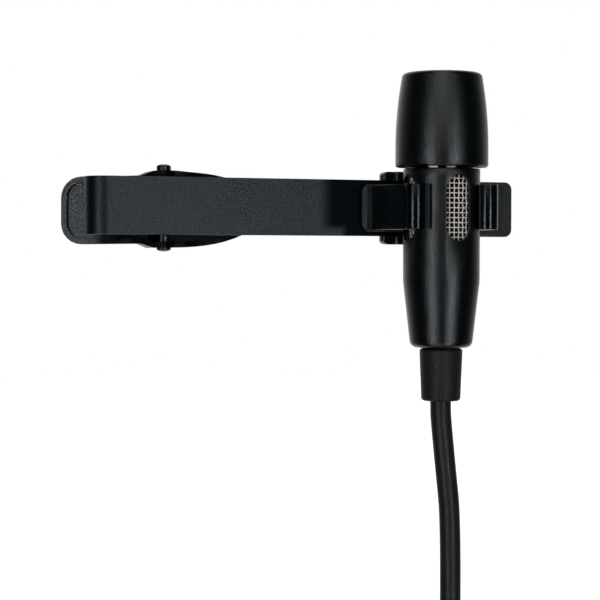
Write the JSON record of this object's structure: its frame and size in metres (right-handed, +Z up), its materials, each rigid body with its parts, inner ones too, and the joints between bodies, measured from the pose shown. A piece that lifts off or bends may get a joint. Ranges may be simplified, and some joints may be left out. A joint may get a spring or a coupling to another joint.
{
  "type": "lavalier_microphone",
  "caption": "Black clip-on lavalier microphone with a turned capsule head, mesh sound windows, a snap-in holder on a sprung tie clip, and its lead wound in a tied hank ending in a plug",
  "frame": {"origin": "The middle of the jaws' grip, on the back face of the clip's front arm, where the closed jaw of the lever meets it", "axes": "+Z is up along the microphone's axis, +Y goes back out of the arm's back face into the cloth, and +X runs along the arm away from the pivot"},
  "size_m": [0.0482, 0.0187, 0.1628],
  "materials": {
    "satin_black": "black satin coating on brass and spring steel",
    "holder_black": "black moulded plastic, satin",
    "steel": "plain spring or plated steel",
    "mesh_steel": "woven stainless wire",
    "gold": "gold-plated contact",
    "rubber_black": "black moulded rubber, matt",
    "cord_black": "black cable jacket, satin",
    "foam_grey": "open-cell acoustic foam",
    "board_green": "green solder mask",
    "core_red": "red core insulation",
    "core_white": "white core insulation",
    "insert_black": "black moulded plastic"
  },
  "bodies": {
    "clip_arm": {"clip_arm": "satin_black", "pivot_pin": "satin_black", "clip_spring": "steel", "mic_holder": "holder_black", "holder_rivet_1": "steel", "holder_rivet_2": "steel"},
    "clip_lever": {"clip_lever": "satin_black"},
    "microphone": {"mic_housing": "satin_black", "window_mesh": "mesh_steel", "capsule_carrier": "steel", "capsule": "steel", "capsule_gasket": "rubber_black", "circuit_board": "board_green", "lead_core_1": "core_red", "lead_core_2": "core_white", "crimp_ferrule": "steel", "strain_relief": "rubber_black", "cord_drop": "cord_black", "cord_hank": "cord_black", "hank_tie": "rubber_black", "cord_tail": "cord_black", "plug_boot": "rubber_black", "plug_collar": "steel", "plug_shell": "steel", "plug_insert": "insert_black", "plug_contact_1": "gold", "plug_contact_2": "gold", "plug_contact_3": "gold"},
    "cap": {"cap": "satin_black", "cap_mesh": "mesh_steel", "cap_foam": "foam_grey"},
    "plug_latch": {"plug_latch": "steel"}
  },
  "joints": [
    {"name": "lever_open", "type": "hinge", "parent": "clip_arm", "child": "clip_lever", "pos_m": [-0.0269, 0.0024, 0], "axis": [0, 0, 1], "range_deg": [0, 16], "stiffness_Nm_per_rad": 0.03, "springref_deg": -68.75, "deforming": ["clip_spring"]},
    {"name": "microphone_turn", "type": "hinge", "parent": "clip_arm", "child": "microphone", "pos_m": [0.001, -0.0058, 0], "axis": [0, 0, 1], "continuous": true},
    {"name": "cap_pull", "type": "slide", "parent": "microphone", "child": "cap", "axis": [0, 0, 1], "range_m": [0, 0.01]},
    {"name": "latch_press", "type": "slide", "parent": "microphone", "child": "plug_latch", "axis": [0, 1, 0], "range_m": [0, 0.0008], "stiffness_N_per_m": 200}
  ]
}
